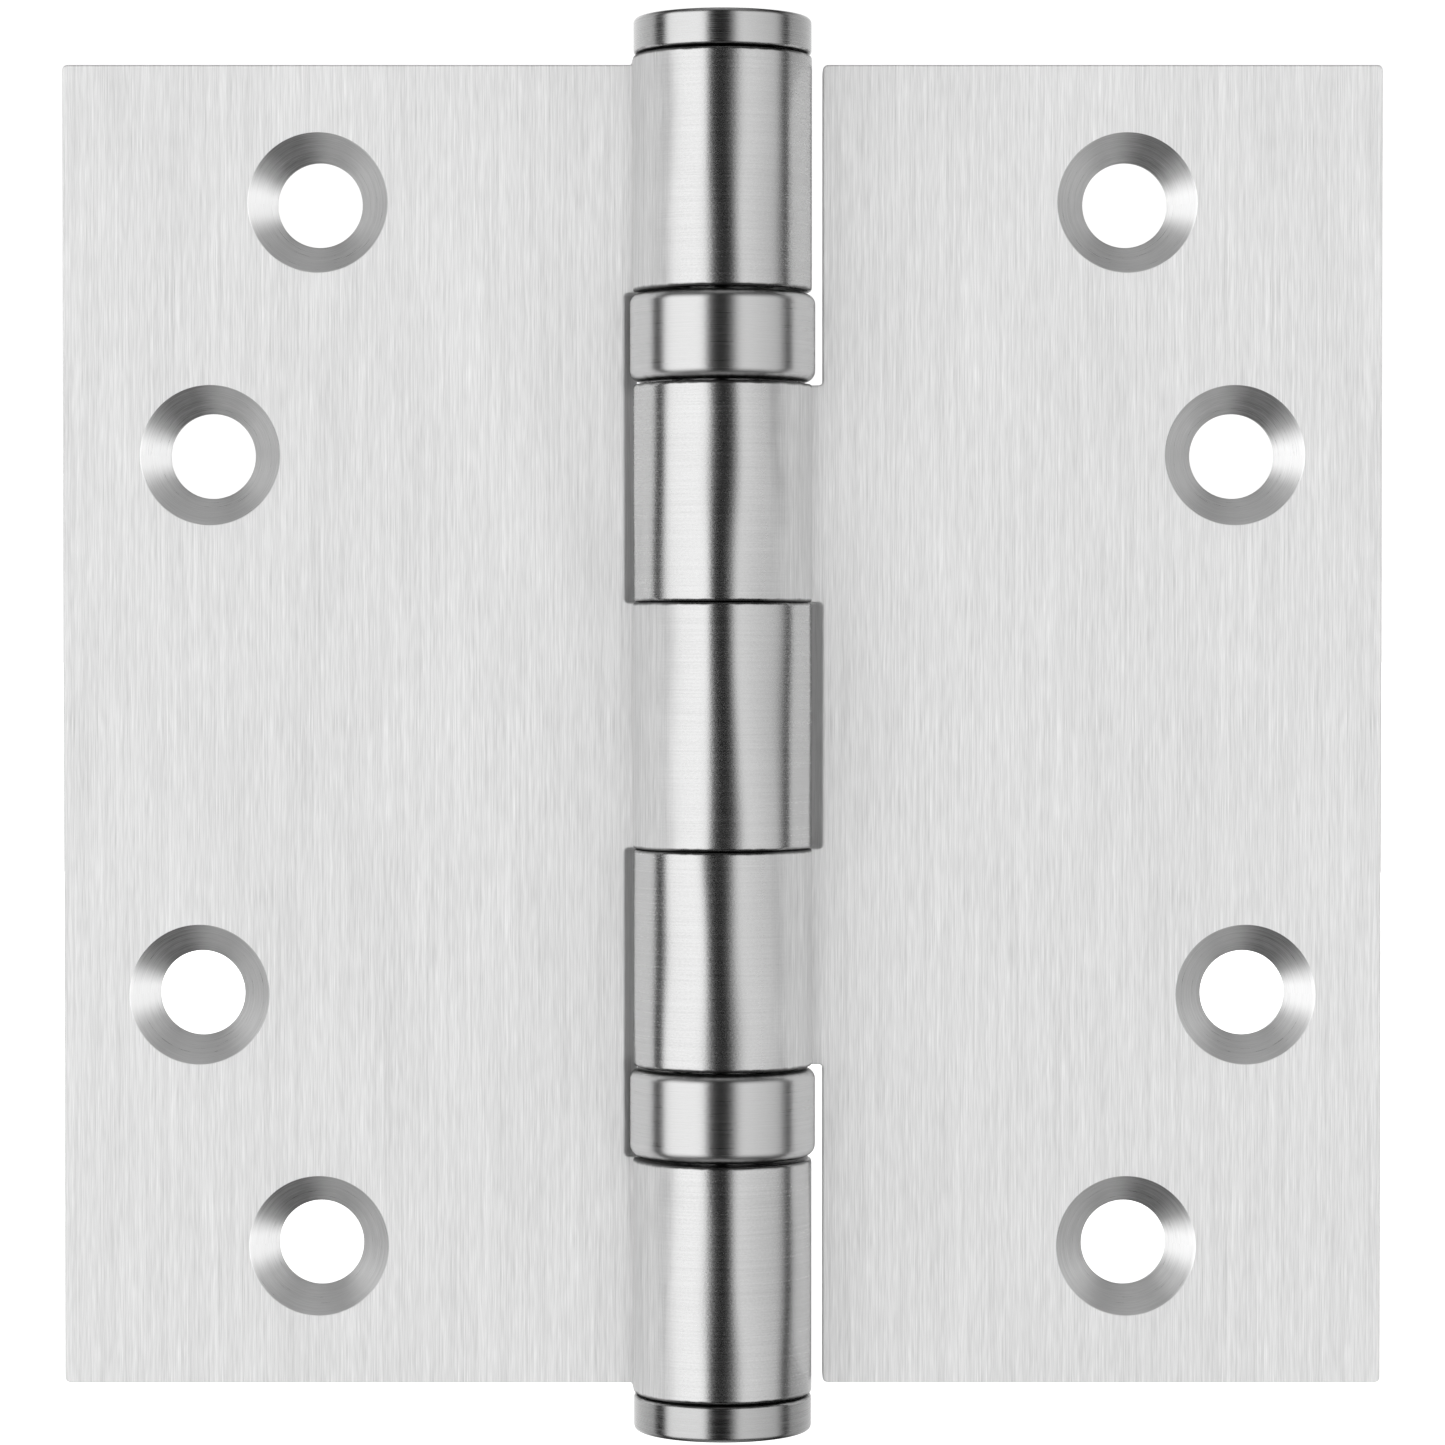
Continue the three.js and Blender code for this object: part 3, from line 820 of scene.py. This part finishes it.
def countersink_steel():
    """A turned cone. A painted highlight and painted shade are part of its colour, by the angle round the
    hole from the side away from the knuckles: a glint on the outer side, shade in a sector above it and on
    the inner side, the upper half darker and the lower half lighter."""
    m = Recipe("countersink_steel")
    split = m.node("ShaderNodeSeparateXYZ")
    m.link(m.surface, split.inputs[0])
    around = m.math("DIVIDE", split.outputs["X"], UV_PER_MM * SINK_RADIUS * math.pi / 180)
    from_outer = m.math("PINGPONG", around, 180.0)
    from_shade = m.math("ABSOLUTE", m.math("SUBTRACT", around, SHADE_MIDDLE))
    # Painted highlight on the outer side, painted shade in a sector above it and on the inner side
    glint = m.ramp(from_outer, GLINT_FULL, GLINT_END, 1.0, 0.0)
    shade = m.ramp(from_shade, SHADE_CORE, SHADE_EDGE, 1.0, 0.0)
    inner = m.ramp(from_outer, INNER_SHADE_FROM_DEGREES, 180.0, 0.0, 1.0)

    rings = m.noise(9.0, 0.1, detail=4.0, seed=14.0)
    short = m.noise(1.5, 0.07, detail=3.0, seed=15.0)
    lines = m.math("ADD", m.math("MULTIPLY", rings, RING_SHARE), m.math("MULTIPLY", short, SHORT_SHARE))
    lines = m.math("SUBTRACT", lines, 0.5)
    change = m.math("MULTIPLY", lines, SINK_CONTRAST)
    # Painted light and shade: darker on the upper half, lighter on the lower half
    upper = m.math("SINE", m.math("RADIANS", around))
    colour = m.math("SUBTRACT", SINK_COLOUR, m.math("MULTIPLY", upper, SINK_LIGHT_BELOW))
    colour = m.math("ADD", colour, m.math("MULTIPLY", glint, SINK_GLINT))
    colour = m.math("SUBTRACT", colour, m.math("MULTIPLY", shade, SINK_SHADE))
    colour = m.math("SUBTRACT", colour, m.math("MULTIPLY", inner, SINK_INNER_SHADE))
    m.link(m.grey(m.math("ADD", colour, change)), m.shader.inputs["Base Color"])
    m.link(m.math("ADD", SINK_ROUGHNESS, change), m.shader.inputs["Roughness"])
    m.bump(lines, SINK_BUMP_MM)
    m.tangent()
    # Less metal where the highlight is painted, so it looks whiter
    metal = m.math("SUBTRACT", SINK_METAL, m.math("MULTIPLY", glint, GLINT_METAL_LOSS))
    m.link(metal, m.shader.inputs["Metallic"])
    m.shader.inputs["Anisotropic"].default_value = SINK_ANISOTROPY
    m.shader.inputs["Anisotropic Rotation"].default_value = QUARTER_TURN
    return m.material


def moulded_nylon():
    """Cream nylon with a faint grain and cloudiness."""
    m = Recipe("moulded_nylon")
    nylon_colour, nylon_roughness, warmth = 0.68, 0.5, 0.08
    grain = m.noise(0.3, 0.3, detail=4.0, seed=21.0)
    blotch = m.noise(3.0, 3.0, detail=2.0, seed=22.0)
    cloud = m.math("MULTIPLY", m.math("SUBTRACT", blotch, 0.5), 0.1)
    m.link(m.grey(m.math("ADD", nylon_colour, cloud), warmth), m.shader.inputs["Base Color"])
    m.link(m.math("ADD", nylon_roughness, m.math("MULTIPLY", grain, 0.15)), m.shader.inputs["Roughness"])
    m.bump(grain, 0.01)
    return m.material


def polished_ball():
    """Bright steel with faint marks."""
    m = Recipe("polished_ball")
    ball_colour, ball_roughness = 0.75, 0.05
    marks = m.noise(0.2, 0.2, detail=4.0, seed=31.0)
    change = m.math("MULTIPLY", m.math("SUBTRACT", marks, 0.5), 0.08)
    m.link(m.grey(m.math("ADD", ball_colour, change)), m.shader.inputs["Base Color"])
    m.link(m.math("ADD", ball_roughness, m.math("MULTIPLY", marks, 0.08)), m.shader.inputs["Roughness"])
    m.shader.inputs["Metallic"].default_value = 1.0
    return m.material


LEAF_STEEL = satin_leaf()
SINK_STEEL = countersink_steel()
TIP_STEEL = turned_steel("turned_stainless", 0.64, 0.28, 0.1, 0.0024, contrast=0.34)
PLUG_STEEL = turned_steel("plug_stainless", 0.55, 0.28, 0.16, 0.0024, contrast=0.38)
SHELL_STEEL = turned_steel("bearing_shell", 0.68, 0.31, 0.09, 0.0024, contrast=0.34, shade_reach=0.7)
RACE_STEEL = turned_steel("hardened_steel", 0.55, 0.16, 0.06, 0.0006)
BALL_STEEL = polished_ball()
NYLON = moulded_nylon()


# ---------------------------------------------------------------- the pieces


def holes_of(label):
    """(distance from the pin's axis, height) of a leaf's screw holes, from the stated openings."""
    found = []
    for opening in record["physics"]["openings"]:
        if opening["name"].startswith(label):
            low, high = opening["box_m"]
            found.append((abs(low[0] + high[0]) / 2 / MM, (low[2] + high[2]) / 2 / MM))
    return found


def place(obj, node, body, slot):
    """Hands a piece to its moving body and hides its CAD node. slot is not used."""
    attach(obj, body)
    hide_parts(node)


end_start = BEARING_MIDDLE + BEARING_SPACE / 2
inner_end = BEARING_MIDDLE - BEARING_SPACE / 2

frame_leaf = leaf_sheet(
    "frame_leaf_steel",
    -1,
    FRAME_NOTCH,
    [(end_start, BARREL_END), (-CENTRE_HALF, CENTRE_HALF), (-BARREL_END, -end_start)],
    holes_of("frame"),
    [LEAF_STEEL, SINK_STEEL],
)
place(frame_leaf, "frame_leaf", "frame_side", "satin_stainless")

door_leaf = leaf_sheet(
    "door_leaf_steel",
    1,
    DOOR_NOTCH,
    [(INNER_START, inner_end), (-inner_end, -INNER_START)],
    holes_of("door"),
    [LEAF_STEEL, SINK_STEEL],
)
place(door_leaf, "door_leaf", "door_side", "satin_stainless")

place(turned("pin_with_head", pin_profile(), [TIP_STEEL]), "hinge_pin", "pin", "turned_stainless")
place(turned("plug_tip", plug_profile(), [PLUG_STEEL]), "bottom_plug", "frame_side", "turned_stainless")

for prefix, sign, upper_body, lower_body in (
    ("upper_bearing", 1, "frame_side", "door_side"),
    ("lower_bearing", -1, "door_side", "frame_side"),
):
    middle = sign * BEARING_MIDDLE
    shell = turned(f"{prefix}_ring", shell_profile(), [SHELL_STEEL], lift=middle)
    place(shell, f"{prefix}_shell", "frame_side", "bearing_shell")
    upper = turned(f"{prefix}_top_washer", race_profile(), [RACE_STEEL], RACE_FACETS, middle)
    place(upper, f"{prefix}_upper_race", upper_body, "hardened_steel")
    lower = turned(f"{prefix}_low_washer", race_profile(), [RACE_STEEL], RACE_FACETS, middle, True)
    place(lower, f"{prefix}_lower_race", lower_body, "hardened_steel")
    ball_body = prefix.replace("bearing", "balls")
    place(cage(f"{prefix}_ball_ring", middle, [NYLON]), f"{prefix}_cage", ball_body, "nylon_cage")
    for k in range(1, BALL_COUNT + 1):
        node = f"{prefix}_ball_{k:02d}"
        low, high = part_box(node)
        made = ball(f"{node}_polished", (low + high) / 2, [BALL_STEEL])
        place(made, node, ball_body, "polished_ball")


# ---------------------------------------------------------------- the studio

# The camera stands straight in front, a little above the middle. These are metres.
DISTANCE = 0.4
EYE_HEIGHT = 0.007
AIM_HEIGHT = 0.00025
VIEW_WIDTH = 0.1253  # what the picture spans at the leaves' front
SENSOR_MM = 36.0
NEAR_CLIP = 0.01

camera_data = bpy.data.cameras.new("camera")
camera_data.sensor_width = SENSOR_MM
camera_data.lens = SENSOR_MM * (DISTANCE + LEAF_FRONT * MM) / VIEW_WIDTH
camera_data.clip_start = NEAR_CLIP
camera = bpy.data.objects.new("camera", camera_data)
bpy.context.scene.collection.objects.link(camera)
camera.location = (0, -DISTANCE, EYE_HEIGHT)
look_down = math.atan((EYE_HEIGHT - AIM_HEIGHT) / DISTANCE)
camera.rotation_euler = (math.pi / 2 - look_down, 0, 0)
bpy.context.scene.camera = camera

# A pale floor that glows a little, so that it meets the room without a line. The metal doesn't
# reflect it, and reflects the room that goes on below instead.
FLOOR_SIZE = 60.0
FLOOR_DROP = 0.05
FLOOR_COLOUR, FLOOR_ROUGHNESS, FLOOR_GLOW = 0.92, 0.9, 0.95
floor_mesh = bpy.data.meshes.new("floor")
half = FLOOR_SIZE / 2
level = cad_low.z - FLOOR_DROP
floor_mesh.from_pydata(
    [(-half, -half, level), (half, -half, level), (half, half, level), (-half, half, level)],
    [],
    [(0, 1, 2, 3)],
)
floor = bpy.data.objects.new("floor", floor_mesh)
bpy.context.scene.collection.objects.link(floor)
floor_paint = bpy.data.materials.new("floor_paint")
floor_paint.use_nodes = True
floor_shader = floor_paint.node_tree.nodes["Principled BSDF"]
floor_shader.inputs["Base Color"].default_value = (FLOOR_COLOUR, FLOOR_COLOUR, FLOOR_COLOUR, 1)
floor_shader.inputs["Roughness"].default_value = FLOOR_ROUGHNESS
floor_shader.inputs["Emission Color"].default_value = (1, 1, 1, 1)
floor_shader.inputs["Emission Strength"].default_value = FLOOR_GLOW
floor_mesh.materials.append(floor_paint)
floor.visible_glossy = False
floor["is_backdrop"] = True

# A dark room with tall soft panels of light round it, which make the stripes on the barrel. Each
# panel is (start, end, softness, brightness at its start, brightness at its end). Angles are in
# degrees, 0 in front of the hinge, negative to the left and past 90 behind it.
PANELS = (
    (-79, -20, 9, 1.25, 1.38),
    (16, 82, 18, 1.04, 0.62),
    (96, 200, 8, 0.38, 0.94),
    (-200, -98, 8, 1.15, 0.52),
)
PANEL_TOP, PANEL_TOP_SOFTNESS = 36, 30  # degrees above and below level
OVERHEAD_FROM, OVERHEAD_SOFTNESS, OVERHEAD_LIGHT = 68, 24, 0.45
ROOM_LIGHT = 0.015
BACKDROP_LIGHT = 1.05  # what the camera sees behind the hinge
world = bpy.data.worlds.new("studio")
bpy.context.scene.world = world
world.use_nodes = True
nodes, links = world.node_tree.nodes, world.node_tree.links
background = nodes["Background"]


def world_math(operation, a, b=0.0):
    made = nodes.new("ShaderNodeMath")
    made.operation = operation
    for value, socket in zip((a, b), made.inputs):
        if hasattr(value, "is_linked"):
            links.new(value, socket)
        else:
            socket.default_value = value
    return made.outputs["Value"]


def world_step(value, at, softness):
    """0 below an angle and 1 above it, changing over softness degrees."""
    made = nodes.new("ShaderNodeMapRange")
    made.interpolation_type = "SMOOTHSTEP"
    links.new(value, made.inputs["Value"])
    made.inputs["From Min"].default_value = at - softness / 2
    made.inputs["From Max"].default_value = at + softness / 2
    return made.outputs["Result"]


def panel(angle, start, end, softness, brightness, end_brightness):
    """Light between two angles, which may fade from one to the other."""
    on = world_step(angle, start, softness)
    off = world_step(angle, end, softness)
    fade = nodes.new("ShaderNodeMapRange")
    links.new(angle, fade.inputs["Value"])
    fade.inputs["From Min"].default_value = start
    fade.inputs["From Max"].default_value = end
    fade.inputs["To Min"].default_value = brightness
    fade.inputs["To Max"].default_value = end_brightness
    return world_math("MULTIPLY", world_math("SUBTRACT", on, off), fade.outputs["Result"])


direction = nodes.new("ShaderNodeTexCoord").outputs["Generated"]
parts = nodes.new("ShaderNodeSeparateXYZ")
links.new(direction, parts.inputs[0])
bearing_angle = world_math(
    "MULTIPLY",
    world_math("ARCTAN2", parts.outputs["X"], world_math("MULTIPLY", parts.outputs["Y"], -1.0)),
    180 / math.pi,
)
flat_length = world_math(
    "SQRT",
    world_math(
        "ADD",
        world_math("MULTIPLY", parts.outputs["X"], parts.outputs["X"]),
        world_math("MULTIPLY", parts.outputs["Y"], parts.outputs["Y"]),
    ),
)
height_angle = world_math(
    "ABSOLUTE",
    world_math("MULTIPLY", world_math("ARCTAN2", parts.outputs["Z"], flat_length), 180 / math.pi),
)
around = ROOM_LIGHT
for sizes in PANELS:
    around = world_math("ADD", around, panel(bearing_angle, *sizes))
panel_height = world_math("SUBTRACT", 1.0, world_step(height_angle, PANEL_TOP, PANEL_TOP_SOFTNESS))
overhead = world_math(
    "MULTIPLY", world_step(height_angle, OVERHEAD_FROM, OVERHEAD_SOFTNESS), OVERHEAD_LIGHT
)
around = world_math("ADD", world_math("MULTIPLY", around, panel_height), overhead)
seen = nodes.new("ShaderNodeLightPath").outputs["Is Camera Ray"]
strength = world_math(
    "ADD",
    world_math("MULTIPLY", seen, BACKDROP_LIGHT),
    world_math("MULTIPLY", world_math("SUBTRACT", 1.0, seen), around),
)
background.inputs["Color"].default_value = (1, 1, 1, 1)
links.new(strength, background.inputs["Strength"])

# A broad fill from in front and from behind, which whitens the satin and leaves no glint
FILL_SIZE = 1.6
FILL_DISTANCE = 2.0
FILL_POWER = 27.0
for sign in (-1, 1):
    fill_data = bpy.data.lights.new("fill", "AREA")
    fill_data.size = FILL_SIZE
    fill_data.energy = FILL_POWER
    fill = bpy.data.objects.new("fill", fill_data)
    bpy.context.scene.collection.objects.link(fill)
    fill.location = (0, sign * FILL_DISTANCE, 0)
    fill.rotation_euler = (-sign * math.pi / 2, 0, 0)
    fill.visible_glossy = False
    fill.visible_camera = False

bpy.context.scene.view_settings.view_transform = "Standard"
bpy.context.scene.view_settings.look = "None"

low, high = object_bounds()
